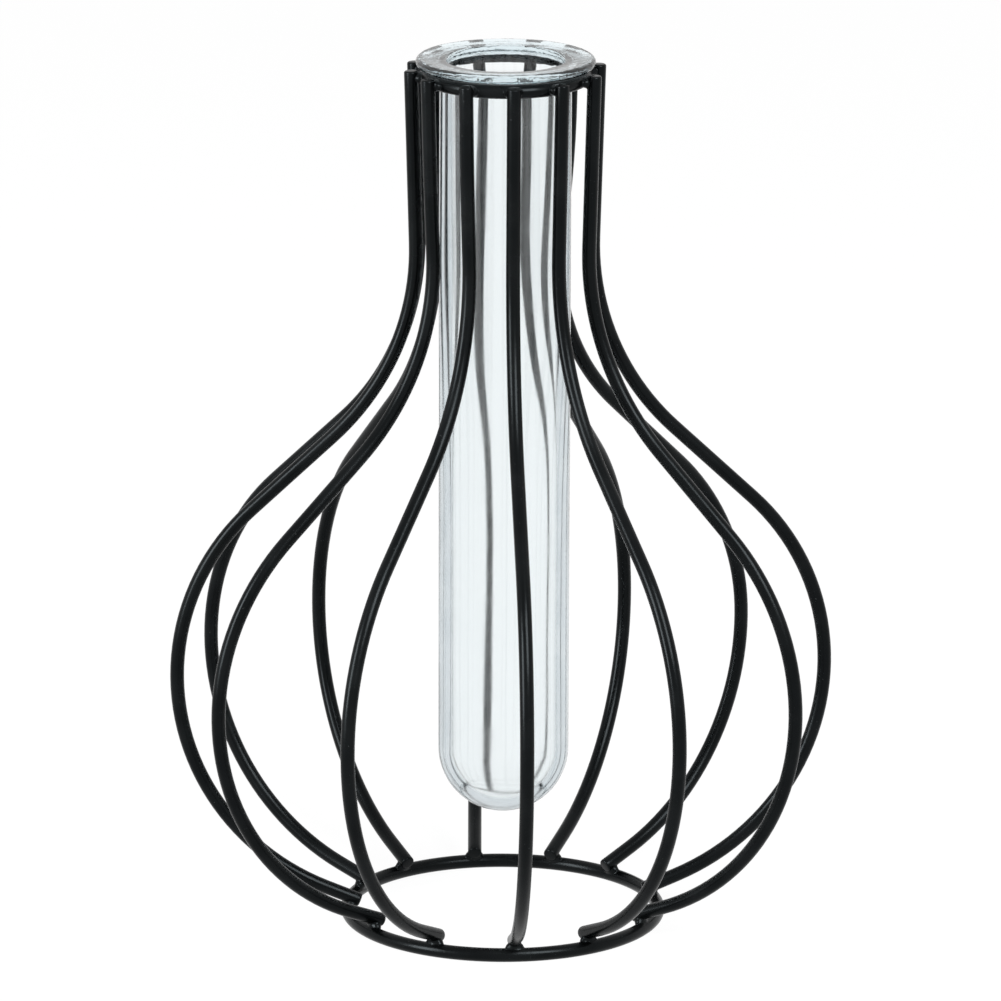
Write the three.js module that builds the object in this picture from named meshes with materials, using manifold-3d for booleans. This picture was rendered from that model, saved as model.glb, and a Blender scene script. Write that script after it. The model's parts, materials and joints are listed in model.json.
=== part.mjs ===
// A glass tube vase hanging in a stand of bent wire.
//
// Twelve wire ribs, all bent alike, run from a small ring at the neck, swell out round the tube and
// come back in to stand on a larger ring at the foot. The glass tube hangs in the neck ring by its
// flared lip and lifts straight out. Millimetres, +Z up, origin on the floor under the tube's axis.
// The first rib is at the front, towards -Y.

import Module from 'manifold-3d';
import * as THREE from 'three';
import { mergeVertices } from 'three/addons/utils/BufferGeometryUtils.js';

const solids = await Module();
solids.setup();

// Wire stand, driving sizes
const wireDiameter = 3.2;
const ribCount = 12;
const weldGap = 0.3; // left between a rib with its weld and the ring that they sit on
const weldFlare = 2.6; // reach of a weld along the ring, to each side of the rib
const weldThickness = 2.6;

// One rib is one length of wire. It is described from its top end down, as its bends are made.
const neckLean = 1.6; // degrees off upright, so that the neck opens a little towards the top
const neckRun = 40; // straight
const neckBendRadius = 60; // outwards
const shoulderSlope = 46.8; // degrees off upright, where the rib runs out to the belly
const shoulderRun = 25.2; // straight
const bellyBendRadius = 54.6; // back inwards
const footSlope = 22; // degrees below level, where the rib runs in to the foot ring
const footRun = 8.4; // straight, to the cut end
const footOverhang = 1.6; // cut end past the point where the rib bears on the foot ring

// How the ribs were set when the stand was welded by hand. Each lies in an upright plane: turn is
// the plane's angle off an even spacing, in degrees, and aside is how far it misses the tube's axis.
// Bow is how far the rib bulges sideways out of that plane at its shoulder.
const ribSeats = [
  { turn: 1.3, aside: 0.5, bow: 0 },
  { turn: -2.5, aside: 2.3, bow: 0 },
  { turn: -3, aside: 3.1, bow: 0 },
  { turn: 5, aside: 1.7, bow: 0 },
  { turn: 7.7, aside: 2.3, bow: 4.5 },
  { turn: 2.7, aside: 3.2, bow: 0 },
  { turn: -2.2, aside: 6.5, bow: 1.5 },
  { turn: -1.6, aside: 6.4, bow: 0 },
  { turn: -0.1, aside: 4.2, bow: 0 },
  { turn: -2.5, aside: 3.6, bow: 0 },
  { turn: -3.5, aside: 2.7, bow: 1.1 },
  { turn: -1.3, aside: 1.8, bow: 0.7 },
];
const bowPlace = 0.62; // where a bow is greatest, as a share of the stand's height
const bowSpan = 0.32; // how far it reaches above and below that place, as a share of the height

// Glass tube, driving sizes
const tubeDiameter = 30;
const tubeWall = 2.8;
const tubeBottom = 2.7; // thickness of the round closed end, at its lowest point
const tubePlay = 1.5; // between the tube and the neck ring, all round
const lipThickness = 2.2;
const lipOverhang = 0.7; // past the outside of the neck ring
const lipUnderFillet = 0.8;
const lipDish = 0.4; // fall of the lip's face from its bead to the throat
const throatRadius = 1; // rounding from the lip's face into the mouth
const mouthFlare = 1; // widening of the bore where the wall thins towards the lip
const mouthTaper = 6; // height over which the bore widens
const seatGap = 0.3; // between the lip and the stand
const tubeHeightOffFloor = 25.6;

// Fineness of the facets
const wireSides = 8;
const ribSteps = 34;
const ringSteps = 72;
const neckRingSteps = 48;
const weldSides = 8;
const weldBands = 4;
const tubeSteps = 40;
const domeSteps = 7;
const filletSteps = 4;

// Sizes that follow from those above
const wireRadius = wireDiameter / 2;
const jointReach = wireDiameter + weldGap; // from centreline to centreline where two wires are welded
const tubeRadius = tubeDiameter / 2;
const boreRadius = tubeRadius - tubeWall;
const neckRingRadius = tubeRadius + tubePlay + wireRadius;
const neckJointDrop = wireRadius / Math.cos(radians(neckLean)); // along the rib, from its top end
const ribTopRadius = neckRingRadius + jointReach + wireRadius * Math.tan(radians(neckLean));
const lipRadius = neckRingRadius + wireRadius + lipOverhang;

const wireMaterial = new THREE.MeshStandardMaterial({ color: 0x1b1d1d, roughness: 0.45, metalness: 0.5 });
const glassMaterial = new THREE.MeshStandardMaterial({
  color: 0xe4ebec,
  roughness: 0.04,
  metalness: 0,
  transparent: true,
  opacity: 0.35,
});

function radians(degrees) {
  return THREE.MathUtils.degToRad(degrees);
}

// The rib's straight runs and bends, from its top end down. A heading is the angle off straight
// down, in radians, and it is positive where the wire runs outwards.
function ribLegs() {
  const neck = -radians(neckLean);
  const shoulder = radians(shoulderSlope);
  const foot = radians(footSlope) - Math.PI / 2;
  return [
    { from: neck, to: neck, length: neckRun },
    { from: neck, to: shoulder, length: neckBendRadius * (shoulder - neck) },
    { from: shoulder, to: shoulder, length: shoulderRun },
    { from: shoulder, to: foot, length: bellyBendRadius * (shoulder - foot) },
    { from: foot, to: foot, length: footRun },
  ];
}

// Moves a point (radius, height) along the first part of one leg and returns where it ends.
function walkLeg(start, leg, distance) {
  const turn = leg.to - leg.from;
  if (turn === 0) {
    return new THREE.Vector2(
      start.x + distance * Math.sin(leg.from),
      start.y - distance * Math.cos(leg.from),
    );
  }
  const bend = leg.length / turn;
  const heading = leg.from + distance / bend;
  return new THREE.Vector2(
    start.x + bend * (Math.cos(leg.from) - Math.cos(heading)),
    start.y + bend * (Math.sin(leg.from) - Math.sin(heading)),
  );
}

// The point (radius, height below the top end) at a distance along the rib.
function ribPoint(distance) {
  let point = new THREE.Vector2(ribTopRadius, 0);
  let left = distance;
  for (const leg of ribLegs()) {
    const step = Math.min(left, leg.length);
    point = walkLeg(point, leg, step);
    left -= step;
  }
  return point;
}

const ribLength = ribLegs().reduce((sum, leg) => sum + leg.length, 0);
const footJoint = ribPoint(ribLength - footOverhang);

// The foot ring's centreline lies square to the rib's last run, where the rib bears on it.
const footRingRadius = footJoint.x + jointReach * Math.sin(radians(footSlope));
const standHeight = wireRadius - footJoint.y + jointReach * Math.cos(radians(footSlope));
const lipUnderside = standHeight + seatGap;

// The share of a rib's bow at a height: 1 at the shoulder, falling to 0 above and below it.
function bowShare(height) {
  const off = THREE.MathUtils.clamp((height / standHeight - bowPlace) / bowSpan, -1, 1);
  return Math.cos((Math.PI / 2) * off) ** 2;
}

// Puts a (radius, height below the stand's top) point where a rib with this seat has it, before the
// rib is turned about the axis. The point keeps its distance from the axis.
function placeOnRib(point, seat, target = new THREE.Vector3()) {
  const height = standHeight + point.y;
  const sideways = seat.aside + seat.bow * bowShare(height);
  return target.set(sideways, -Math.sqrt(point.x ** 2 - sideways ** 2), height);
}

class RibCentreline extends THREE.Curve {
  constructor(seat) {
    super();
    this.seat = seat;
  }

  getPoint(fraction, target) {
    return placeOnRib(ribPoint(fraction * ribLength), this.seat, target);
  }
}

// Corners of the wire's section, with flats that touch the round wire at its top, bottom and sides.
function wireSection(centreX = 0, radius = wireRadius) {
  const corner = radius / Math.cos(Math.PI / wireSides);
  const points = [];
  for (let side = 0; side < wireSides; side += 1) {
    const angle = (2 * Math.PI * (side + 0.5)) / wireSides - Math.PI / 2;
    points.push(new THREE.Vector2(centreX + corner * Math.cos(angle), corner * Math.sin(angle)));
  }
  return points;
}

function arcPoints(centreX, centreY, radius, fromDegrees, toDegrees, steps) {
  const points = [];
  for (let step = 0; step <= steps; step += 1) {
    const angle = radians(fromDegrees + ((toDegrees - fromDegrees) * step) / steps);
    points.push(new THREE.Vector2(centreX + radius * Math.cos(angle), centreY + radius * Math.sin(angle)));
  }
  return points;
}

// Turns an outline of (radius, height) points about the upright axis.
function revolve(outline, steps) {
  const geometry = new THREE.LatheGeometry(outline, steps);
  geometry.rotateX(Math.PI / 2);
  return geometry;
}

function ringGeometry(ringRadius, steps, radius = wireRadius) {
  const section = wireSection(ringRadius, radius);
  return revolve([...section, section[0]], steps);
}

function solidOf(geometry) {
  const shape = geometry.clone();
  shape.deleteAttribute('normal');
  shape.deleteAttribute('uv');
  const merged = mergeVertices(shape);
  return new solids.Manifold(
    new solids.Mesh({
      numProp: 3,
      vertProperties: merged.attributes.position.array,
      triVerts: new Uint32Array(merged.index.array),
    }),
  );
}

function geometryOf(solid) {
  const mesh = solid.getMesh();
  const geometry = new THREE.BufferGeometry();
  geometry.setAttribute('position', new THREE.BufferAttribute(mesh.vertProperties, 3));
  geometry.setIndex(new THREE.BufferAttribute(mesh.triVerts, 1));
  geometry.computeVertexNormals();
  return geometry;
}

// The space that a ring and its gap take up, which the welds are cut back to.
function ringClearance(ringRadius, steps, height) {
  const space = ringGeometry(ringRadius, steps, wireRadius + weldGap);
  space.translate(0, 0, height);
  return solidOf(space);
}

const footClearance = ringClearance(footRingRadius, ringSteps, wireRadius);
const neckClearance = ringClearance(neckRingRadius, neckRingSteps, standHeight - wireRadius);

// The pad of weld that fills the corner between a rib and a ring. It is wide along the ring, no
// longer than the wire is thick along the rib, and thins out to its edge.
function weldPad(ribJoint, ringRadius, ringHeight, seat) {
  const ribCentre = placeOnRib(ribJoint, seat);
  const shrink = ringRadius / ribJoint.x;
  const ringCentre = new THREE.Vector3(ribCentre.x * shrink, ribCentre.y * shrink, ringHeight);
  const towardsRing = ringCentre.clone().sub(ribCentre).normalize();
  const alongRing = new THREE.Vector3(-ribCentre.y, ribCentre.x, 0).normalize();
  const alongRib = alongRing.clone().cross(towardsRing);
  const pad = new THREE.SphereGeometry(1, weldSides, weldBands);
  pad.scale(weldFlare, weldThickness / 2, wireRadius);
  pad.applyMatrix4(new THREE.Matrix4().makeBasis(alongRing, towardsRing, alongRib));
  pad.translate(...ribCentre.lerp(ringCentre, 0.5).toArray());
  return solidOf(pad);
}

// One rib at the front of the stand, with a weld at each end seated on its ring.
function ribGeometry(seat) {
  const wire = new THREE.ExtrudeGeometry(new THREE.Shape(wireSection()), {
    steps: ribSteps,
    bevelEnabled: false,
    extrudePath: new RibCentreline(seat),
  });
  const footWeld = weldPad(footJoint, footRingRadius, wireRadius, seat);
  const neckWeld = weldPad(ribPoint(neckJointDrop), neckRingRadius, standHeight - wireRadius, seat);
  const rib = solidOf(wire).add(footWeld).add(neckWeld);
  return geometryOf(rib.subtract(footClearance).subtract(neckClearance));
}

// The tube's outline, up the outside from the closed end, round the lip and down the bore.
function tubeOutline() {
  const floor = tubeHeightOffFloor;
  const fillet = lipUnderFillet;
  const bead = lipThickness / 2;
  const mouthRadius = boreRadius + mouthFlare;
  const throatBottom = lipUnderside + lipThickness - lipDish - throatRadius;
  return [
    ...arcPoints(0, floor + tubeRadius, tubeRadius, -90, 0, domeSteps),
    ...arcPoints(tubeRadius + fillet, lipUnderside - fillet, fillet, 180, 90, filletSteps),
    ...arcPoints(lipRadius - bead, lipUnderside + bead, bead, -90, 90, 2 * filletSteps),
    ...arcPoints(mouthRadius + throatRadius, throatBottom, throatRadius, 90, 180, filletSteps),
    new THREE.Vector2(boreRadius, throatBottom - mouthTaper),
    ...arcPoints(0, floor + tubeBottom + boreRadius, boreRadius, 0, -90, domeSteps),
  ];
}

function part(name, geometry, material) {
  const mesh = new THREE.Mesh(geometry, material);
  mesh.name = name;
  return mesh;
}

function makeRings() {
  const footRing = part('base_ring', ringGeometry(footRingRadius, ringSteps), wireMaterial);
  footRing.position.z = wireRadius;
  const neckRing = part('top_ring', ringGeometry(neckRingRadius, neckRingSteps), wireMaterial);
  neckRing.position.z = standHeight - wireRadius;
  return [footRing, neckRing];
}

function makeRibs() {
  const ribs = [];
  for (let index = 0; index < ribCount; index += 1) {
    const seat = ribSeats[index % ribSeats.length];
    const rib = part(`rib_${String(index + 1).padStart(2, '0')}`, ribGeometry(seat), wireMaterial);
    rib.rotation.z = (2 * Math.PI * index) / ribCount + radians(seat.turn);
    ribs.push(rib);
  }
  return ribs;
}

const stand = new THREE.Group();
stand.add(...makeRings(), ...makeRibs());

const glass = new THREE.Group();
glass.add(part('glass_tube', revolve(tubeOutline(), tubeSteps), glassMaterial));

const vase = new THREE.Group();
vase.add(stand, glass);

export default vase;
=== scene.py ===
"""Looks of a glass tube vase that hangs in a bulb-shaped stand of bent black wire.

Lengths are in metres, +Z is up, and the tube's axis is the Z axis. The stand rests on the floor at
z = 0 and its first rib is at the front, towards -Y. The wire pieces ride on the body "stand" and the
tube on the body "glass".
"""

from __future__ import annotations

import json
import logging
import math
from collections.abc import Iterable, Sequence
from dataclasses import dataclass, field
from enum import Enum

import bmesh
import bpy
from mathutils import Matrix, Vector, noise

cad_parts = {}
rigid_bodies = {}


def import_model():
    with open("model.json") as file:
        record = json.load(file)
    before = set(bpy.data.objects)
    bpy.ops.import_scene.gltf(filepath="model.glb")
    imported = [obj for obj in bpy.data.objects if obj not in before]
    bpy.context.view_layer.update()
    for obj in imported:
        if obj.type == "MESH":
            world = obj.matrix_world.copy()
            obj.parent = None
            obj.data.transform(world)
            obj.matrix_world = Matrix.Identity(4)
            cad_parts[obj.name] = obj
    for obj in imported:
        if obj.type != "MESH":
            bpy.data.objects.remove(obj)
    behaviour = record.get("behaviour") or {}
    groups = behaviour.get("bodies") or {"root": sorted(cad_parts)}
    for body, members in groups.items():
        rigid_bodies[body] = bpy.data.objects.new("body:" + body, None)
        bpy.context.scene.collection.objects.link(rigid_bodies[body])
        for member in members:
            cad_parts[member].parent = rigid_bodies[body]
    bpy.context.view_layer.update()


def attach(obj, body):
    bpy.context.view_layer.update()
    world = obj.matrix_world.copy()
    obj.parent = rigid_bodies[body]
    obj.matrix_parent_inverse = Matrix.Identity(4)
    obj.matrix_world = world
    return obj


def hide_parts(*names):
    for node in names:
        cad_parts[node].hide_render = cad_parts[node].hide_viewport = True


LOG = logging.getLogger("vase")

MM = 0.001
ORIGIN = (0.0, 0.0, 0.0)
WHITE = (1.0, 1.0, 1.0, 1.0)
WIRE_SIDES = 24

Colour = tuple[float, float, float]
Place = tuple[float, float, float]
Spot = tuple[float, float]
Span = tuple[float, float]
Socket = bpy.types.NodeSocket


class Body(Enum):
    """The two bodies that the pieces ride on."""

    STAND = "stand"
    GLASS = "glass"


class Slot(Enum):
    """The material slots of the part's record."""

    WIRE = "wire"
    GLASS = "glass"


class WeldPlace(Enum):
    """The two rings that a rib is welded to."""

    NECK = "neck"
    FOOT = "foot"


# Helpers for meshes and nodes


def publish(mesh: bmesh.types.BMesh, name: str, material: bpy.types.Material) -> bpy.types.Object:
    """Turns a finished bmesh into a smooth-shaded object at the origin.

    Args:
        mesh: The shape, in the row frame. It is freed.
        name: The object's and the mesh's name.
        material: The one material of the piece.

    Returns:
        The new object, linked to the scene.
    """
    data = bpy.data.meshes.new(name)
    mesh.to_mesh(data)
    mesh.free()
    data.materials.append(material)
    data.polygons.foreach_set("use_smooth", [True] * len(data.polygons))
    piece = bpy.data.objects.new(name, data)
    bpy.context.scene.collection.objects.link(piece)
    return piece


def mount(piece: bpy.types.Object, body: Body, nodes: Iterable[str] = ()) -> None:
    """Makes a piece ride on its body and stand for the CAD nodes that it replaces.

    Args:
        piece: The finished object.
        body: The body that it moves with.
        nodes: Names of the CAD nodes that it stands for.
    """
    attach(piece, body.value)
    if nodes:
        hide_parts(*nodes)
    LOG.info("%s: %d faces on %s", piece.name, len(piece.data.polygons), body.value)


def sweep(
    mesh: bmesh.types.BMesh,
    geometry: Sequence[bmesh.types.BMVert | bmesh.types.BMEdge],
    centre: Sequence[float],
    axis: Sequence[float],
    angle: float,
    steps: int,
    merge: bool = False,
) -> list[bmesh.types.BMVert | bmesh.types.BMEdge]:
    """Sweeps points and edges of a mesh round an axis.

    Args:
        mesh: The mesh that they belong to.
        geometry: The points and edges.
        centre: A point on the axis.
        axis: The axis's direction.
        angle: The angle of the sweep, in radians.
        steps: The parts that it is made in.
        merge: Whether the end of a full turn is joined to its start.

    Returns:
        The points and edges at the end of the sweep.
    """
    return bmesh.ops.spin(
        mesh,
        geom=list(geometry),
        cent=centre,
        axis=axis,
        angle=angle,
        steps=steps,
        use_merge=merge,
        use_duplicate=False,
    )["geom_last"]


@dataclass(frozen=True)
class Grain:
    """A noise texture: its features per metre, its octaves and how strong the finer ones are."""

    scale: float
    detail: float
    roughness: float = 0.5


class NodeGraph:
    """A material's or world's nodes, made and linked by short calls."""

    def __init__(self, tree: bpy.types.NodeTree) -> None:
        """Empties the tree and keeps it."""
        tree.nodes.clear()
        self.tree = tree

    def add(
        self, kind: str, values: dict[str | int, object] | None = None, **settings: object
    ) -> bpy.types.Node:
        """Adds a node.

        Args:
            kind: The node's class name.
            values: Socket names or numbers with a value, or an output socket to link.
            **settings: Properties of the node itself.

        Returns:
            The new node.
        """
        node = self.tree.nodes.new(kind)
        for key, value in settings.items():
            setattr(node, key, value)
        for socket, value in (values or {}).items():
            if isinstance(value, bpy.types.NodeSocket):
                self.tree.links.new(value, node.inputs[socket])
            else:
                node.inputs[socket].default_value = value
        return node

    def object_place(self) -> Socket:
        """Returns the Object coordinates."""
        return self.add("ShaderNodeTexCoord").outputs["Object"]

    def calc(self, operation: str, first: Socket | float, second: Socket | float) -> Socket:
        """Adds a math node for two values and returns its result."""
        return self.add("ShaderNodeMath", {0: first, 1: second}, operation=operation).outputs[0]

    def length(self, *sides: Socket) -> Socket:
        """Returns the length of the vector that has these sides."""
        vector = self.add("ShaderNodeCombineXYZ", dict(enumerate(sides))).outputs[0]
        return self.add("ShaderNodeVectorMath", {0: vector}, operation="LENGTH").outputs["Value"]

    def noise(self, where: Socket, grain: Grain) -> Socket:
        """Adds a noise texture.

        Args:
            where: The coordinates that it reads.
            grain: How fine and how rough it is.

        Returns:
            The noise's value.
        """
        values = {
            "Vector": where,
            "Scale": grain.scale,
            "Detail": grain.detail,
            "Roughness": grain.roughness,
        }
        return self.add("ShaderNodeTexNoise", values).outputs[0]

    def spread(self, value: Socket, span: Span, onto: Span = (0.0, 1.0)) -> Socket:
        """Maps a span of a value onto another span and clamps it.

        Args:
            value: What is mapped.
            span: The start and the end of its span.
            onto: What the start and the end become.

        Returns:
            The mapped value.
        """
        values = {
            "Value": value,
            "From Min": span[0],
            "From Max": span[1],
            "To Min": onto[0],
            "To Max": onto[1],
        }
        return self.add("ShaderNodeMapRange", values, clamp=True).outputs[0]

    def blend(self, share: Socket, first: Colour | Socket, second: Colour | Socket) -> Socket:
        """Mixes two colours.

        Args:
            share: How much of the second colour there is.
            first: A colour, or the socket that gives it.
            second: The other colour, or its socket.

        Returns:
            The mixed colour.
        """
        values: dict[str | int, object] = {0: share}
        for number, colour in ((6, first), (7, second)):
            values[number] = colour if isinstance(colour, bpy.types.NodeSocket) else (*colour, 1.0)
        return self.add("ShaderNodeMix", values, data_type="RGBA").outputs[2]

    def bump(self, height: Socket, depth: float, under: Socket | None = None) -> Socket:
        """Adds a bump on top of another.

        Args:
            height: The texture that gives the height.
            depth: The height of a value of one, in metres.
            under: The normal of a bump beneath this one.

        Returns:
            The bumped normal.
        """
        values: dict[str | int, object] = {"Height": height, "Distance": depth, "Strength": 1.0}
        if under is not None:
            values["Normal"] = under
        return self.add("ShaderNodeBump", values).outputs[0]

    def seen_directly(self) -> Socket:
        """Finds out whether a ray shows what it hits, or lights what it comes from.

        Returns:
            1 for camera, glossy and transmission rays, and 0 for the light that falls on things.
        """
        path = self.add("ShaderNodeLightPath").outputs
        seen = self.calc("MAXIMUM", path["Is Camera Ray"], path["Is Glossy Ray"])
        return self.calc("MAXIMUM", seen, path["Is Transmission Ray"])


def new_material(name: str) -> tuple[bpy.types.Material, NodeGraph]:
    """Makes an empty node material.

    Args:
        name: The material's name.

    Returns:
        The material and its graph.
    """
    material = bpy.data.materials.new(name)
    material.use_nodes = True
    return material, NodeGraph(material.node_tree)


# Finishes


@dataclass(frozen=True)
class PowderCoat:
    """Satin black powder coating, with orange peel, faint rubs and a dusting of pale specks."""

    name: str
    black: Colour = (0.0008, 0.001, 0.0011)
    rubbed: Colour = (0.0032, 0.0036, 0.0038)
    speck: Colour = (0.03, 0.032, 0.033)
    gloss_tint: Colour = (0.84, 0.95, 1.0)
    patches: Grain = Grain(90.0, 3.0)
    rub_levels: Span = (0.42, 0.68)
    specks: Grain = Grain(1900.0, 2.0, 0.4)
    speck_level: float = 0.74
    speck_edge: float = 0.05
    lumps: Grain = Grain(420.0, 3.0)
    lump_depth: float = 0.0
    peel: Grain = Grain(850.0, 2.0)
    peel_depth: float = 0.018 * MM
    grit: Grain = Grain(5200.0, 1.0)
    grit_depth: float = 0.006 * MM
    satin_levels: Span = (0.3, 0.7)
    satin: Span = (0.22, 0.3)
    ior: float = 1.45
    specular_level: float = 0.13

    def build(self) -> bpy.types.Material:
        """Builds the material from its values.

        Returns:
            The material.
        """
        material, graph = new_material(self.name)
        where = graph.object_place()
        patches = graph.noise(where, self.patches)
        coat = graph.blend(graph.spread(patches, self.rub_levels), self.black, self.rubbed)
        dust_levels = (self.speck_level, self.speck_level + self.speck_edge)
        dust = graph.spread(graph.noise(where, self.specks), dust_levels)
        normal = graph.bump(graph.noise(where, self.lumps), self.lump_depth)
        normal = graph.bump(graph.noise(where, self.peel), self.peel_depth, normal)
        normal = graph.bump(graph.noise(where, self.grit), self.grit_depth, normal)
        shader = graph.add(
            "ShaderNodeBsdfPrincipled",
            {
                "Base Color": graph.blend(dust, coat, self.speck),
                "Roughness": graph.spread(patches, self.satin_levels, self.satin),
                "IOR": self.ior,
                "Specular IOR Level": self.specular_level,
                "Specular Tint": (*self.gloss_tint, 1.0),
                "Normal": normal,
            },
        )
        graph.add("ShaderNodeOutputMaterial", {"Surface": shader.outputs[0]})
        return material


@dataclass(frozen=True)
class ClearGlass:
    """Clear soda glass, drawn into a tube, with faint streaks along it and a cool grey in its depth.

    Where the outer wall is seen edge-on, its colour is painted grey: painted shade that stands for the
    long way the light goes through the wall there. The lip is fire-polished and a little wavy, and the
    closed end is a little cloudy.
    """

    name: str
    surface: Colour = (0.99, 1.0, 1.0)
    lip: Colour = (0.9, 0.975, 1.0)
    ior: float = 1.5
    depth_colour: Colour = (0.5, 0.643, 0.7)
    depth_density: float = 46.0
    # Painted shade: the grey that the glass's colour takes where the outer wall is seen edge-on, and the
    # mask that spreads it.
    painted_edge_shade: Colour = (0.54, 0.59, 0.62)
    painted_shade_facing: Span = (0.37, 0.44)
    painted_shade_patches: Grain = Grain(160.0, 2.0)
    painted_shade_levels: Span = (0.3, 0.7)
    painted_shade_strength: Span = (0.75, 1.1)
    wall_radius: float = 13.8 * MM
    ripples: Grain = Grain(55.0, 1.0)
    ripple_depth: float = 0.05 * MM
    streaks: Grain = Grain(420.0, 2.0)
    streak_stretch: float = 0.05
    streak_depth: float = 0.004 * MM
    lip_height: float = 198 * MM
    lip_rise: float = 3 * MM
    lip_waves: Grain = Grain(620.0, 3.0)
    lip_wave_depth: float = 0.15 * MM
    film: Grain = Grain(130.0, 4.0)
    film_levels: Span = (0.4, 0.7)
    haze: Span = (0.05, 0.1)
    lip_haze: float = 0.35
    lip_haze_rise: float = 8 * MM
    ball_height: float = 40.6 * MM
    ball_haze: float = 1.7
    ball_haze_rise: float = 15 * MM

    def painted_edge_shade_share(self, graph: NodeGraph, where: Socket, parts: Sequence[Socket]) -> Socket:
        """Finds out how far a point is on the outer wall, below the lip, and seen edge-on: the mask of the
        painted edge shade.

        Args:
            graph: The material's graph.
            where: The Object coordinates.
            parts: Their X, Y and Z.

        Returns:
            A share from 0 to 1, a little uneven from place to place.
        """
        radius = graph.length(parts[0], parts[1])
        drop = graph.calc("MINIMUM", graph.calc("SUBTRACT", parts[2], self.ball_height), 0.0)
        outer = graph.calc("GREATER_THAN", graph.length(radius, drop), self.wall_radius)
        under_lip = graph.calc("LESS_THAN", parts[2], self.lip_height)
        facing = graph.add("ShaderNodeLayerWeight", {"Blend": 0.5}).outputs["Facing"]
        patches = graph.noise(where, self.painted_shade_patches)
        uneven = graph.spread(patches, self.painted_shade_levels, self.painted_shade_strength)
        # The painted shade grows as the wall turns edge-on to the camera.
        edge = graph.calc("MULTIPLY", graph.spread(facing, self.painted_shade_facing), uneven)
        return graph.calc("MULTIPLY", edge, graph.calc("MULTIPLY", outer, under_lip))

    def unevenness(self, graph: NodeGraph, where: Socket, on_lip: Socket) -> Socket:
        """Lays ripples, drawn streaks and the waves of the lip over each other.

        Args:
            graph: The material's graph.
            where: The Object coordinates.
            on_lip: 1 on the lip and 0 below it.

        Returns:
            The bumped normal.
        """
        stretched = {"Vector": where, "Scale": (1.0, 1.0, self.streak_stretch)}
        drawn = graph.add("ShaderNodeMapping", stretched).outputs[0]
        waves = graph.calc("MULTIPLY", graph.noise(where, self.lip_waves), on_lip)
        normal = graph.bump(graph.noise(where, self.ripples), self.ripple_depth)
        normal = graph.bump(graph.noise(drawn, self.streaks), self.streak_depth, normal)
        return graph.bump(waves, self.lip_wave_depth, normal)

    def haziness(self, graph: NodeGraph, where: Socket, height: Socket) -> Socket:
        """Gives the glass a thin film of haze, less on the lip and more at the closed end.

        Args:
            graph: The material's graph.
            where: The Object coordinates.
            height: Their Z.

        Returns:
            The roughness.
        """
        film = graph.spread(graph.noise(where, self.film), self.film_levels, self.haze)
        up_to_lip = (self.lip_height - self.lip_haze_rise, self.lip_height)
        near_lip = graph.spread(height, up_to_lip, (1.0, self.lip_haze))
        up_the_ball = (self.ball_height - self.ball_haze_rise, self.ball_height)
        near_ball = graph.spread(height, up_the_ball, (self.ball_haze, 1.0))
        return graph.calc("MULTIPLY", graph.calc("MULTIPLY", film, near_lip), near_ball)

    def build(self) -> bpy.types.Material:
        """Builds the material from its values.

        Returns:
            The material.
        """
        material, graph = new_material(self.name)
        where = graph.object_place()
        parts = graph.add("ShaderNodeSeparateXYZ", {0: where}).outputs
        on_lip = graph.spread(parts[2], (self.lip_height, self.lip_height + self.lip_rise))
        edge = self.painted_edge_shade_share(graph, where, parts)
        shader = graph.add(
            "ShaderNodeBsdfPrincipled",
            {
                # The base colour carries the painted edge shade below the lip.
                "Base Color": graph.blend(on_lip, graph.blend(edge, self.surface, self.painted_edge_shade), self.lip),
                "Roughness": self.haziness(graph, where, parts[2]),
                "IOR": self.ior,
                "Transmission Weight": 1.0,
                "Normal": self.unevenness(graph, where, on_lip),
            },
        )
        depth = graph.add(
            "ShaderNodeVolumeAbsorption",
            {"Color": (*self.depth_colour, 1.0), "Density": self.depth_density},
        )
        graph.add("ShaderNodeOutputMaterial", {"Surface": shader.outputs[0], "Volume": depth.outputs[0]})
        return material


@dataclass(frozen=True)
class StudioFloor:
    """A plain pale floor that shows as white and keeps a soft part of the shadows on it."""

    name: str
    pale: Colour = (0.86, 0.865, 0.87)
    mottle: Grain = Grain(6.0, 3.0)
    mottle_lift: float = 0.03
    roughness: float = 0.4
    white_share: float = 0.93
    white: float = 1.03

    def build(self) -> bpy.types.Material:
        """Builds the material from its values.

        Returns:
            The material.
        """
        material, graph = new_material(self.name)
        paler = tuple(value + self.mottle_lift for value in self.pale)
        paper = graph.blend(graph.noise(graph.object_place(), self.mottle), self.pale, paler)
        lit = graph.add("ShaderNodeBsdfDiffuse", {"Color": paper, "Roughness": self.roughness})
        white = graph.add("ShaderNodeEmission", {"Color": WHITE, "Strength": self.white})
        share = graph.calc("MULTIPLY", graph.seen_directly(), self.white_share)
        mixed = graph.add("ShaderNodeMixShader", {0: share, 1: lit.outputs[0], 2: white.outputs[0]})
        graph.add("ShaderNodeOutputMaterial", {"Surface": mixed.outputs[0]})
        return material


# Pens that draw with the bmesh operators


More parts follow.
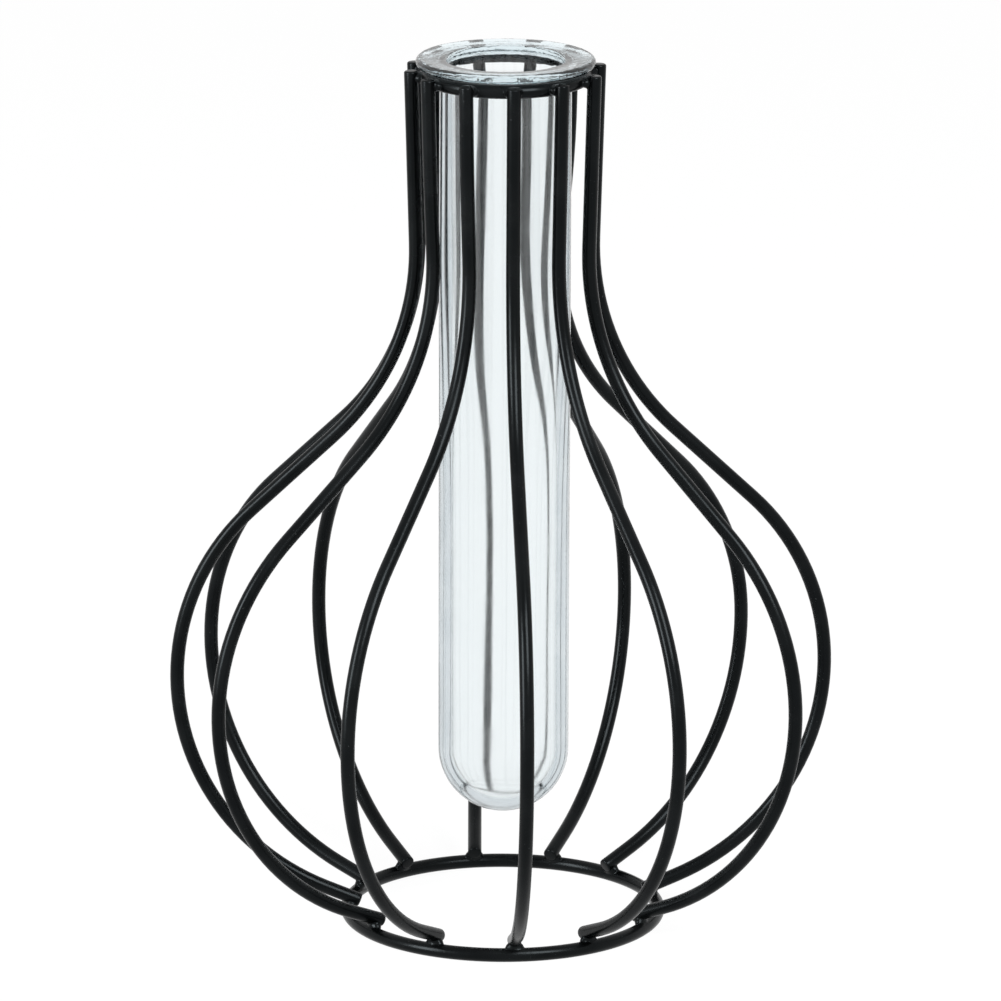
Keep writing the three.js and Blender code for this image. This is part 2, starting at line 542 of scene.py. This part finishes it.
class WirePen:
    """Draws a round wire by runs and bends in the plane of +X (outwards) and Z.

    The heading is the angle off straight down, in radians, and it is positive where the wire runs
    outwards.
    """

    def __init__(self, radius: float, start: Spot, heading: float) -> None:
        """Sets the pen down.

        Args:
            radius: The wire's radius.
            start: Distance from the axis and height of the wire's end.
            heading: The direction that the wire leaves in.
        """
        self.mesh = bmesh.new()
        self.place = Vector((start[0], 0.0, start[1]))
        self.heading = heading
        across = Matrix.Rotation(math.pi / 2 - heading, 4, "Y") @ Matrix.Rotation(math.pi / 2, 4, "Y")
        matrix = Matrix.Translation(self.place) @ across
        bmesh.ops.create_circle(
            self.mesh, cap_ends=False, radius=radius, segments=WIRE_SIDES, matrix=matrix
        )
        self.tip = list(self.mesh.edges)

    def run(self, length: float, steps: int) -> None:
        """Draws a straight run.

        Args:
            length: The run's length.
            steps: Rings of faces along it.
        """
        step = Vector((math.sin(self.heading), 0.0, -math.cos(self.heading))) * (length / steps)
        for _ in range(steps):
            made = bmesh.ops.extrude_edge_only(self.mesh, edges=self.tip)["geom"]
            verts = [item for item in made if isinstance(item, bmesh.types.BMVert)]
            bmesh.ops.translate(self.mesh, vec=step, verts=verts)
            self.tip = [item for item in made if isinstance(item, bmesh.types.BMEdge)]
            self.place += step

    def bend(self, radius: float, turn: float, steps: int) -> None:
        """Draws a bend.

        Args:
            radius: The bend's radius, at the middle of the wire.
            turn: The change of heading, in radians.
            steps: Rings of faces along it.
        """
        reach = math.copysign(radius, turn)
        centre = self.place + Vector((math.cos(self.heading), 0.0, math.sin(self.heading))) * reach
        last = sweep(self.mesh, self.tip, centre, (0.0, -1.0, 0.0), turn, steps)
        self.tip = [item for item in last if isinstance(item, bmesh.types.BMEdge)]
        self.heading += turn
        self.place = centre - Vector((math.cos(self.heading), 0.0, math.sin(self.heading))) * reach

    def close(self, edge_radius: float) -> bmesh.types.BMesh:
        """Caps both ends, rounds their edges and returns the mesh.

        Args:
            edge_radius: The rounding of the cut ends.

        Returns:
            The closed wire.
        """
        caps = bmesh.ops.holes_fill(self.mesh, edges=self.mesh.edges, sides=0)["faces"]
        bmesh.ops.bevel(
            self.mesh,
            geom=[edge for cap in caps for edge in cap.edges],
            offset=edge_radius,
            offset_type="OFFSET",
            affect="EDGES",
            segments=4,
            profile=0.5,
            material=-1,
        )
        bmesh.ops.recalc_face_normals(self.mesh, faces=self.mesh.faces)
        return self.mesh


class ProfilePen:
    """Draws the outline of a turned piece in the plane of +X and Z, and turns it about the Z axis."""

    def __init__(self, start: Spot) -> None:
        """Sets the pen down.

        Args:
            start: Distance from the axis and height of the outline's first point.
        """
        self.mesh = bmesh.new()
        bmesh.ops.create_vert(self.mesh, co=(start[0], 0.0, start[1]))
        self.mesh.verts.ensure_lookup_table()
        self.tip = self.mesh.verts[0]

    def line(self, to: Spot, steps: int) -> None:
        """Draws a straight line.

        Args:
            to: Distance from the axis and height of its end.
            steps: The parts that it is drawn in.
        """
        step = (Vector((to[0], 0.0, to[1])) - self.tip.co) / steps
        for _ in range(steps):
            made = bmesh.ops.extrude_vert_indiv(self.mesh, verts=[self.tip])["verts"]
            bmesh.ops.translate(self.mesh, vec=step, verts=made)
            self.tip = made[0]

    def arc(self, centre: Spot, turn: float, steps: int) -> None:
        """Draws an arc from where the pen is.

        Args:
            centre: Distance from the axis and height of the arc's centre.
            turn: The arc's angle in radians, counterclockwise as seen from -Y.
            steps: The parts that it is drawn in.
        """
        middle = (centre[0], 0.0, centre[1])
        last = sweep(self.mesh, [self.tip], middle, (0.0, -1.0, 0.0), turn, steps)
        self.tip = next(item for item in last if isinstance(item, bmesh.types.BMVert))

    def revolve(self, steps: int, weld_within: float = 0.001 * MM) -> bmesh.types.BMesh:
        """Turns the outline once about the Z axis.

        Args:
            steps: The parts that the turn is made in.
            weld_within: Points closer than this become one.

        Returns:
            The closed mesh.
        """
        outline = [*self.mesh.verts, *self.mesh.edges]
        sweep(self.mesh, outline, ORIGIN, (0.0, 0.0, 1.0), 2 * math.pi, steps, merge=True)
        bmesh.ops.remove_doubles(self.mesh, verts=self.mesh.verts, dist=weld_within)
        bmesh.ops.recalc_face_normals(self.mesh, faces=self.mesh.faces)
        return self.mesh


# The wire stand


@dataclass(frozen=True)
class RibSeat:
    """How one rib was set.

    It has a turn off an even spacing, its plane misses the axis by some way aside, and it may bow
    sideways out of the plane at its shoulder.
    """

    turn: float
    aside: float
    bow: float


@dataclass(frozen=True)
class Joint:
    """Where a rib is welded to a ring: the middle of each wire, and the rib's direction down there."""

    rib: Vector
    ring: Vector
    down_rib: Vector


@dataclass(frozen=True)
class StandSizes:
    """Sizes of the wire stand, as its maker would give them, and what follows from them."""

    wire_radius: float = 1.6 * MM
    weld_gap: float = 0.3 * MM
    neck_ring_radius: float = 18.1 * MM
    neck_lean: float = math.radians(1.6)
    neck_run: float = 40 * MM
    neck_bend_radius: float = 60 * MM
    shoulder_slope: float = math.radians(46.8)
    shoulder_run: float = 25.2 * MM
    belly_bend_radius: float = 54.6 * MM
    foot_slope: float = math.radians(22)
    foot_run: float = 8.4 * MM
    foot_overhang: float = 1.6 * MM
    cut_edge_radius: float = 0.45 * MM
    bow_place: float = 0.62
    bow_span: float = 0.32
    seats: tuple[RibSeat, ...] = tuple(
        RibSeat(math.radians(turn), aside * MM, bow * MM)
        for turn, aside, bow in (
            (1.3, 0.5, 0),
            (-2.5, 2.3, 0),
            (-3, 3.1, 0),
            (5, 1.7, 0),
            (7.7, 2.3, 4.5),
            (2.7, 3.2, 0),
            (-2.2, 6.5, 1.5),
            (-1.6, 6.4, 0),
            (-0.1, 4.2, 0),
            (-2.5, 3.6, 0),
            (-3.5, 2.7, 1.1),
            (-1.3, 1.8, 0.7),
        )
    )

    @property
    def reach(self) -> float:
        """Distance between the centrelines of two wires at a weld."""
        return 2 * self.wire_radius + self.weld_gap

    @property
    def rib_top_radius(self) -> float:
        """Distance of a rib's top end from the axis."""
        return self.neck_ring_radius + self.reach + self.wire_radius * math.tan(self.neck_lean)

    @property
    def foot_heading(self) -> float:
        """Heading of the rib's last run."""
        return self.foot_slope - math.pi / 2

    def foot_drop(self) -> Spot:
        """Walks down a rib, run by run and bend by bend, to where it meets the foot ring.

        Returns:
            The distance from the axis there, and the height under the rib's top, which is negative.
        """
        shoulder = self.shoulder_slope
        radius = self.rib_top_radius - self.neck_run * math.sin(self.neck_lean)
        drop = -self.neck_run * math.cos(self.neck_lean)
        radius += self.neck_bend_radius * (math.cos(self.neck_lean) - math.cos(shoulder))
        drop -= self.neck_bend_radius * (math.sin(self.neck_lean) + math.sin(shoulder))
        radius += self.shoulder_run * math.sin(shoulder)
        drop -= self.shoulder_run * math.cos(shoulder)
        radius -= self.belly_bend_radius * (math.cos(shoulder) - math.cos(self.foot_heading))
        drop += self.belly_bend_radius * (math.sin(self.foot_heading) - math.sin(shoulder))
        last = self.foot_run - self.foot_overhang
        radius += last * math.sin(self.foot_heading)
        drop -= last * math.cos(self.foot_heading)
        return radius, drop

    @property
    def foot_ring_radius(self) -> float:
        """Centreline radius of the foot ring."""
        return self.foot_drop()[0] + self.reach * math.sin(self.foot_slope)

    @property
    def height(self) -> float:
        """Height of the ribs' top ends over the floor."""
        return self.wire_radius - self.foot_drop()[1] + self.reach * math.cos(self.foot_slope)

    @property
    def neck_ring_height(self) -> float:
        """Height of the middle of the neck ring's wire."""
        return self.height - self.wire_radius

    def bearing(self, index: int) -> float:
        """Angle of a rib's plane about the Z axis, from +X, with rib 0 at the front."""
        return 2 * math.pi * index / len(self.seats) + self.seats[index].turn - math.pi / 2

    def sideways(self, index: int, height: float) -> float:
        """Works out how far a rib passes beside the axis.

        Args:
            index: The rib's number, from 0 at the front.
            height: The height over the floor.

        Returns:
            The distance at that height.
        """
        seat = self.seats[index]
        off = (height / self.height - self.bow_place) / self.bow_span
        return seat.aside + seat.bow * math.cos(math.pi / 2 * max(-1.0, min(1.0, off))) ** 2

    def joint(self, place: WeldPlace, index: int) -> Joint:
        """Works out where a rib is welded to one of the rings.

        Args:
            place: The ring.
            index: The rib's number, from 0 at the front.

        Returns:
            The joint.
        """
        if place is WeldPlace.FOOT:
            radius, drop = self.foot_drop()
            rib_height, ring_height = self.height + drop, self.wire_radius
            ring_radius, heading = self.foot_ring_radius, self.foot_heading
        else:
            radius = self.neck_ring_radius + self.reach
            rib_height = ring_height = self.neck_ring_height
            ring_radius, heading = self.neck_ring_radius, -self.neck_lean
        aside = self.seats[index].aside
        outwards = math.sqrt(radius**2 - aside**2)
        share = ring_radius / radius
        turn = Matrix.Rotation(self.bearing(index), 3, "Z")
        down_rib = Vector((math.sin(heading) * radius / outwards, 0.0, -math.cos(heading)))
        return Joint(
            rib=turn @ Vector((outwards, aside, rib_height)),
            ring=turn @ Vector((outwards * share, aside * share, ring_height)),
            down_rib=turn @ down_rib.normalized(),
        )


@dataclass
class Ribs:
    """The twelve bent ribs."""

    sizes: StandSizes
    coat: bpy.types.Material

    def bent(self) -> bmesh.types.BMesh:
        """Bends a rib from straight wire, in the plane of +X and Z.

        Returns:
            The rib's mesh.
        """
        sizes = self.sizes
        pen = WirePen(sizes.wire_radius, (sizes.rib_top_radius, sizes.height), -sizes.neck_lean)
        pen.run(sizes.neck_run, steps=8)
        pen.bend(sizes.neck_bend_radius, sizes.shoulder_slope + sizes.neck_lean, steps=22)
        pen.run(sizes.shoulder_run, steps=6)
        pen.bend(sizes.belly_bend_radius, sizes.foot_heading - sizes.shoulder_slope, steps=44)
        pen.run(sizes.foot_run, steps=4)
        return pen.close(sizes.cut_edge_radius)

    def set_in_place(self, mesh: bmesh.types.BMesh, index: int) -> None:
        """Moves a bent rib to where it stands.

        Each point keeps its distance from the axis, so the rib still bears on both rings.

        Args:
            mesh: The bent rib.
            index: The rib's number, from 0 at the front.
        """
        for vert in mesh.verts:
            sideways = self.sizes.sideways(index, vert.co.z)
            vert.co.x = math.sqrt(vert.co.x**2 - sideways**2)
            vert.co.y += sideways
        turn = Matrix.Rotation(self.sizes.bearing(index), 3, "Z")
        bmesh.ops.rotate(mesh, cent=ORIGIN, matrix=turn, verts=mesh.verts)

    def build(self) -> None:
        """Builds every rib, dresses it and puts it on the stand."""
        for index in range(len(self.sizes.seats)):
            name = f"rib_{index + 1:02d}"
            mesh = self.bent()
            self.set_in_place(mesh, index)
            mount(publish(mesh, f"wire_{name}", self.coat), Body.STAND, [name])


@dataclass
class Rings:
    """The foot ring that the vase stands on and the neck ring that the tube hangs in."""

    sizes: StandSizes
    coat: bpy.types.Material
    steps: int = 180

    def ring(self, radius: float, height: float) -> bmesh.types.BMesh:
        """Turns a round section about the Z axis.

        Args:
            radius: The ring's radius, at the middle of the wire.
            height: The height of the wire's middle.

        Returns:
            The ring's mesh.
        """
        mesh = bmesh.new()
        matrix = Matrix.Translation((radius, 0.0, height)) @ Matrix.Rotation(math.pi / 2, 4, "X")
        bmesh.ops.create_circle(
            mesh, cap_ends=False, radius=self.sizes.wire_radius, segments=WIRE_SIDES, matrix=matrix
        )
        section = [*mesh.verts, *mesh.edges]
        sweep(mesh, section, ORIGIN, (0.0, 0.0, 1.0), 2 * math.pi, self.steps, merge=True)
        bmesh.ops.recalc_face_normals(mesh, faces=mesh.faces)
        return mesh

    def build(self) -> None:
        """Builds both rings, dresses them and puts them on the stand."""
        sizes = self.sizes
        for name, node, radius, height in (
            ("wire_foot_ring", "base_ring", sizes.foot_ring_radius, sizes.wire_radius),
            ("wire_neck_ring", "top_ring", sizes.neck_ring_radius, sizes.neck_ring_height),
        ):
            piece = publish(self.ring(radius, height), name, self.coat)
            mount(piece, Body.STAND, [node])


@dataclass
class Welds:
    """The welds at both ends of every rib, each the two wires and a bead melted into one skin."""

    sizes: StandSizes
    coat: bpy.types.Material
    swell: float = -0.03 * MM
    thinner_ends: float = 0.12 * MM
    ring_reach: float = 4.6 * MM
    rib_reach: float = 3.6 * MM
    end_margin: float = 0.5 * MM
    pad: Place = (2.15 * MM, 1.3 * MM, 1.35 * MM)
    sleeve_sides: int = 20
    sleeve_steps: int = 10
    voxel: float = 0.2 * MM
    smoothing: int = 7
    lump_size: float = 1.3 * MM
    lump_depth: float = 0.05 * MM
    seed_step: Place = (1.7, 0.9, 2.3)
    foot_seed: int = 40

    def section(
        self, mesh: bmesh.types.BMesh, centre: Vector, along: Vector, radius: float
    ) -> list[bmesh.types.BMEdge]:
        """Adds a round section of a wire.

        Args:
            mesh: The mesh that it is added to.
            centre: The section's centre.
            along: The wire's direction there.
            radius: The section's radius.

        Returns:
            The edges of the section.
        """
        turn = along.to_track_quat("Z", "Y").to_matrix().to_4x4()
        matrix = Matrix.Translation(centre) @ turn
        verts = bmesh.ops.create_circle(
            mesh, cap_ends=False, radius=radius, segments=self.sleeve_sides, matrix=matrix
        )["verts"]
        return list({edge for vert in verts for edge in vert.link_edges})

    def sleeve(self, mesh: bmesh.types.BMesh, stations: list[tuple[Vector, Vector]]) -> None:
        """Adds a sleeve over a stretch of wire, which gets thinner towards its ends.

        Args:
            mesh: The mesh that it is added to.
            stations: Centres and directions along the wire.
        """
        loops = []
        for number, (centre, along) in enumerate(stations):
            share = abs(2 * number / (len(stations) - 1) - 1)
            thinner = (self.swell + self.thinner_ends) * share**3
            radius = self.sizes.wire_radius + self.swell - thinner
            loops.append(self.section(mesh, centre, along, radius))
        for first, second in zip(loops, loops[1:]):
            bmesh.ops.bridge_loops(mesh, edges=first + second)
        bmesh.ops.holes_fill(mesh, edges=loops[0] + loops[-1], sides=0)

    def ring_stations(self, middle: Vector) -> list[tuple[Vector, Vector]]:
        """Finds stations along a ring, to both sides of a weld.

        Args:
            middle: The weld's place on the ring's centreline.

        Returns:
            Centres and directions along the ring.
        """
        radius = math.hypot(middle.x, middle.y)
        bearing = math.atan2(middle.y, middle.x)
        stations = []
        for number in range(self.sleeve_steps + 1):
            angle = bearing + (2 * number / self.sleeve_steps - 1) * self.ring_reach / radius
            out = Vector((math.cos(angle), math.sin(angle), 0.0))
            centre = out * radius + Vector((0.0, 0.0, middle.z))
            stations.append((centre, Vector((-out.y, out.x, 0.0))))
        return stations

    def rib_stations(self, joint: Joint, above: float, below: float) -> list[tuple[Vector, Vector]]:
        """Finds stations along a rib's straight end.

        Args:
            joint: Where the rib is welded.
            above: How far the sleeve reaches up the rib.
            below: How far it reaches down the rib.

        Returns:
            Centres and directions, from the upper end down.
        """
        stations = []
        for number in range(self.sleeve_steps + 1):
            down = -above + (above + below) * number / self.sleeve_steps
            stations.append((joint.rib + joint.down_rib * down, joint.down_rib))
        return stations

    def rough_weld(self, place: WeldPlace, joint: Joint) -> bmesh.types.BMesh:
        """Builds the two sleeves and the pad between them.

        Args:
            place: The ring that the weld is at.
            joint: Where the rib is welded to it.

        Returns:
            A mesh of three closed shapes that pass into each other.
        """
        mesh = bmesh.new()
        if place is WeldPlace.FOOT:
            above, below = self.rib_reach, self.sizes.foot_overhang - self.end_margin
        else:
            above, below = self.sizes.wire_radius - self.end_margin, self.rib_reach
        self.sleeve(mesh, self.rib_stations(joint, above, below))
        self.sleeve(mesh, self.ring_stations(joint.ring))
        across = (joint.ring - joint.rib).normalized()
        side = Vector((-joint.rib.y, joint.rib.x, 0.0)).normalized()
        turn = Matrix((side, across, side.cross(across))).transposed().to_4x4()
        middle = Matrix.Translation((joint.rib + joint.ring) / 2)
        shape = Matrix.Diagonal((*self.pad, 1.0))
        bmesh.ops.create_icosphere(mesh, subdivisions=3, radius=1.0, matrix=middle @ turn @ shape)
        return mesh

    def melt(self, rough: bmesh.types.BMesh, name: str) -> bmesh.types.BMesh:
        """Fuses overlapping shapes into one skin and smooths its corners into fillets.

        Args:
            rough: Closed shapes that pass into each other. It is freed.
            name: A name for the passing object.

        Returns:
            The fused mesh.
        """
        passing = publish(rough, name, self.coat)
        remesh = passing.modifiers.new("fuse", "REMESH")
        remesh.mode = "VOXEL"
        remesh.voxel_size = self.voxel
        fused = bmesh.new()
        fused.from_object(passing, bpy.context.evaluated_depsgraph_get())
        data = passing.data
        bpy.data.objects.remove(passing)
        bpy.data.meshes.remove(data)
        for _ in range(self.smoothing):
            bmesh.ops.smooth_vert(
                fused, verts=fused.verts, factor=0.5, use_axis_x=True, use_axis_y=True, use_axis_z=True
            )
        return fused

    def weather(self, mesh: bmesh.types.BMesh, seed: int) -> None:
        """Gives a weld the small lumps of its bead, different at every joint.

        Args:
            mesh: The weld's mesh.
            seed: A number of its own for each weld.
        """
        mesh.normal_update()
        shift = Vector(tuple(seed * step for step in self.seed_step))
        for vert in mesh.verts:
            lump = noise.noise(vert.co / self.lump_size + shift)
            vert.co += vert.normal * (lump * self.lump_depth)

    def build(self) -> None:
        """Builds both welds of every rib, dresses them and puts them on the stand."""
        for place in WeldPlace:
            first_seed = self.foot_seed if place is WeldPlace.FOOT else 0
            for index in range(len(self.sizes.seats)):
                name = f"weld_{place.value}_{index + 1:02d}"
                rough = self.rough_weld(place, self.sizes.joint(place, index))
                mesh = self.melt(rough, f"rough_{name}")
                self.weather(mesh, first_seed + index)
                mount(publish(mesh, name, self.coat), Body.STAND)


# The glass tube


@dataclass
class GlassTube:
    """The test tube, with its round closed end and its flared lip that has a bead for an edge."""

    name: str
    glass: bpy.types.Material
    seat_height: float
    rest_gap: float = 0.3 * MM
    outer_radius: float = 15 * MM
    bore_radius: float = 12.2 * MM
    closed_end: float = 2.7 * MM
    off_floor: float = 25.6 * MM
    lip_radius: float = 20.4 * MM
    lip_thickness: float = 2.2 * MM
    under_fillet: float = 0.8 * MM
    dish: float = 0.4 * MM
    throat_radius: float = 1 * MM
    mouth_flare: float = 1 * MM
    mouth_taper: float = 6 * MM
    steps: int = 144
    bore_waver: float = 0.07 * MM
    outer_waver_share: float = 0.4
    waver_across: float = 9 * MM
    waver_along: float = 26 * MM
    bore_shift: Place = (7.3, 1.9, 4.1)
    outer_shift: Place = (2.2, 8.4, 0.7)
    still_radius: float = 0.5 * MM
    bore_margin: float = 0.2 * MM

    @property
    def lip_underside(self) -> float:
        """Height of the lip's underside, a hair above the ring that it rests on."""
        return self.seat_height + self.rest_gap

    def outline(self) -> ProfilePen:
        """Draws the tube's section, up the outside from the closed end, round the lip and down the bore.

        Returns:
            The pen that has drawn it.
        """
        quarter = math.pi / 2
        outer_centre = self.off_floor + self.outer_radius
        inner_centre = self.off_floor + self.closed_end + self.bore_radius
        fillet_height = self.lip_underside - self.under_fillet
        bead = self.lip_thickness / 2
        mouth = self.bore_radius + self.mouth_flare
        throat_bottom = self.lip_underside + self.lip_thickness - self.dish - self.throat_radius
        flare_turn = 2 * math.atan(self.mouth_flare / self.mouth_taper)
        flare_bend = (self.mouth_taper**2 + self.mouth_flare**2) / (4 * self.mouth_flare)
        pen = ProfilePen((0.0, self.off_floor))
        pen.arc((0.0, outer_centre), quarter, steps=24)
        pen.line((self.outer_radius, fillet_height), steps=60)
        pen.arc((self.outer_radius + self.under_fillet, fillet_height), -quarter, steps=8)
        pen.line((self.lip_radius - bead, self.lip_underside), steps=4)
        pen.arc((self.lip_radius - bead, self.lip_underside + bead), 2 * quarter, steps=20)
        pen.line((mouth + self.throat_radius, throat_bottom + self.throat_radius), steps=6)
        pen.arc((mouth + self.throat_radius, throat_bottom), quarter, steps=14)
        pen.arc((mouth - flare_bend, throat_bottom), -flare_turn, steps=10)
        pen.arc((self.bore_radius + flare_bend, throat_bottom - self.mouth_taper), flare_turn, steps=10)
        pen.line((self.bore_radius, inner_centre), steps=60)
        pen.arc((0.0, inner_centre), -quarter, steps=20)
        return pen

    def waver_walls(self, mesh: bmesh.types.BMesh) -> None:
        """Lets the walls wander a little from true, most of all inside, as in drawn glass.

        Args:
            mesh: The tube's mesh.
        """
        across, along = self.waver_across, self.waver_along
        for vert in mesh.verts:
            flat = Vector((vert.co.x, vert.co.y, 0.0))
            if flat.length < self.still_radius:
                continue
            inside = flat.length < self.bore_radius + self.mouth_flare + self.bore_margin
            depth = self.bore_waver * (1.0 if inside else self.outer_waver_share)
            spot = Vector((vert.co.x / across, vert.co.y / across, vert.co.z / along))
            spot += Vector(self.bore_shift if inside else self.outer_shift)
            vert.co += flat.normalized() * (noise.noise(spot) * depth)

    def build(self) -> None:
        """Builds the tube, dresses it and hangs it in the stand."""
        mesh = self.outline().revolve(self.steps)
        self.waver_walls(mesh)
        mount(publish(mesh, self.name, self.glass), Body.GLASS, ["glass_tube"])


# Studio and camera


@dataclass(frozen=True)
class Softbox:
    """An upright rectangular lamp that points at the middle of the vase."""

    name: str
    place: Place
    width: float
    height: float
    power: float

    def build(self, target: Vector, kept_off: Iterable[str]) -> None:
        """Hangs the lamp, points it and flags its light off some pieces.

        Args:
            target: The point that it faces.
            kept_off: Names of the pieces that its light doesn't reach.
        """
        lamp = bpy.data.lights.new(self.name, "AREA")
        lamp.shape = "RECTANGLE"
        lamp.size = self.width
        lamp.size_y = self.height
        lamp.energy = self.power
        holder = bpy.data.objects.new(self.name, lamp)
        holder.location = self.place
        holder.rotation_euler = (target - Vector(self.place)).to_track_quat("-Z", "Y").to_euler()
        bpy.context.scene.collection.objects.link(holder)
        flagged = bpy.data.collections.new(f"{self.name}_kept_off")
        holder.light_linking.receiver_collection = flagged
        for number, name in enumerate(kept_off):
            flagged.objects.link(bpy.data.objects[name])
            flagged.collection_objects[number].light_linking.link_state = "EXCLUDE"


@dataclass
class Studio:
    """A pale floor, a white surround and two soft lamps, both flagged off the glass.

    Mirrored in the bore, the lamps would show as a pale rectangle and a bright spot.
    """

    kept_off: tuple[str, ...]
    floor_size: float = 16.0
    surround: float = 0.1
    target: Vector = field(default_factory=lambda: Vector((0.0, 0.0, 0.1)))
    lamps: tuple[Softbox, ...] = (
        Softbox("strip_left", (-1.2, -0.7, 0.5), width=0.5, height=0.85, power=24.0),
        Softbox("softbox_front", (0.52, -0.95, 0.95), width=0.6, height=0.7, power=19.0),
    )

    def floor(self) -> None:
        """Lays the floor under the vase."""
        mesh = bmesh.new()
        bmesh.ops.create_grid(mesh, x_segments=8, y_segments=8, size=self.floor_size / 2)
        publish(mesh, "studio_floor", StudioFloor("pale_floor").build())

    def world(self) -> None:
        """Lights the room softly and shows it as white to the camera, in gloss and through glass."""
        world = bpy.data.worlds.new("studio")
        world.use_nodes = True
        bpy.context.scene.world = world
        graph = NodeGraph(world.node_tree)
        soft = graph.add("ShaderNodeBackground", {"Color": WHITE, "Strength": self.surround})
        white = graph.add("ShaderNodeBackground", {"Color": WHITE, "Strength": 1.0})
        mixed = graph.add(
            "ShaderNodeMixShader", {0: graph.seen_directly(), 1: soft.outputs[0], 2: white.outputs[0]}
        )
        graph.add("ShaderNodeOutputWorld", {"Surface": mixed.outputs[0]})

    def build(self) -> None:
        """Builds the floor, the surround and the lamps."""
        self.floor()
        self.world()
        for lamp in self.lamps:
            lamp.build(self.target, self.kept_off)
        LOG.info("studio: %d lamps", len(self.lamps))


@dataclass(frozen=True)
class PhotoCamera:
    """The camera at the photograph's angle, for a square image of 1001 pixels."""

    pixels: int = 1001
    pixels_per_mm: float = 4.371
    distance: float = 2050 * MM
    elevation: float = math.radians(15.177)
    azimuth: float = math.radians(-2.4)
    roll: float = math.radians(0.213)
    look_at: Place = (0.0, 0.0, 100 * MM)
    shown_at: Spot = (504.15, 496.9)
    sensor: float = 36.0
    clip: Span = (0.1, 100.0)

    def build(self) -> None:
        """Places the camera and makes it the scene's."""
        data = bpy.data.cameras.new("photo_camera")
        data.sensor_fit = "HORIZONTAL"
        data.sensor_width = self.sensor
        data.lens = self.sensor * self.pixels_per_mm * (self.distance / MM) / self.pixels
        data.shift_x = (self.pixels / 2 - self.shown_at[0]) / self.pixels
        data.shift_y = (self.shown_at[1] - self.pixels / 2) / self.pixels
        data.clip_start, data.clip_end = self.clip
        away = Vector(
            (
                math.sin(self.azimuth) * math.cos(self.elevation),
                -math.cos(self.azimuth) * math.cos(self.elevation),
                math.sin(self.elevation),
            )
        )
        camera = bpy.data.objects.new("photo_camera", data)
        facing = (-away).to_track_quat("-Z", "Y").to_matrix() @ Matrix.Rotation(self.roll, 3, "Z")
        place = Matrix.Translation(Vector(self.look_at) + away * self.distance)
        camera.matrix_world = place @ facing.to_4x4()
        bpy.context.scene.collection.objects.link(camera)
        bpy.context.scene.camera = camera


def main() -> None:
    """Builds the vase in its studio, piece by piece."""
    logging.basicConfig(level=logging.INFO, format="%(name)s %(message)s")
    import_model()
    sizes = StandSizes()
    coat = PowderCoat("black_coat").build()
    weld_coat = PowderCoat("black_coat_on_welds", speck_level=0.7, lump_depth=0.12 * MM).build()
    tube = GlassTube("test_tube", ClearGlass("clear_glass").build(), seat_height=sizes.height)
    Ribs(sizes, coat).build()
    Rings(sizes, coat).build()
    Welds(sizes, weld_coat).build()
    tube.build()
    Studio(kept_off=(tube.name,)).build()
    PhotoCamera().build()
    bpy.context.scene.view_settings.view_transform = "Standard"


if __name__ == "__main__":
    main()
